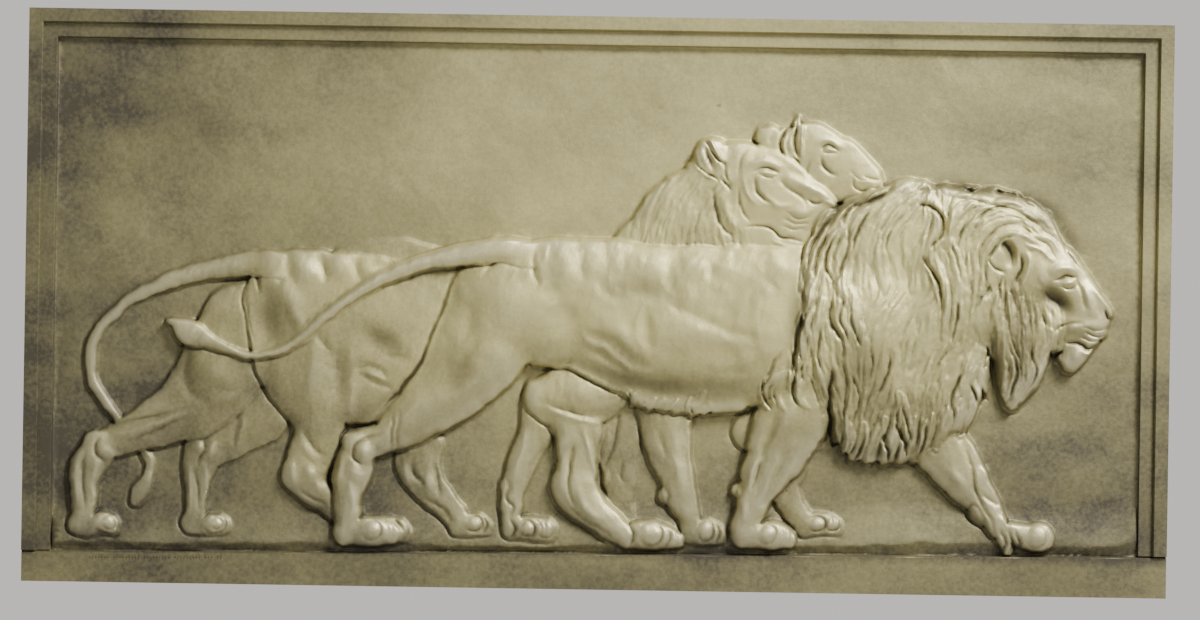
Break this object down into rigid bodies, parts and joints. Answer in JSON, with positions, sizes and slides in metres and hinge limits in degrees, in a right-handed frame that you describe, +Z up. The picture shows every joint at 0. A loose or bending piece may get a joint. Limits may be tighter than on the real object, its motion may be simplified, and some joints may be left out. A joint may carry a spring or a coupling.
{
  "type": "relief plaque",
  "caption": "Rectangular cast bas-relief wall plaque with a stepped frame: a maned lion walks to the right in front of lionesses.",
  "frame": {"origin": "centre of the flat back face, where the plaque lies against the wall", "axes": "+X to the right as seen from the front, +Z up, the carved front faces -Y and the back faces +Y"},
  "size_m": [0.916, 0.0379, 0.4586],
  "materials": {
    "patinated_bronze": "satin"
  },
  "bodies": {
    "root": {"relief_plaque": "patinated_bronze"}
  },
  "joints": []
}
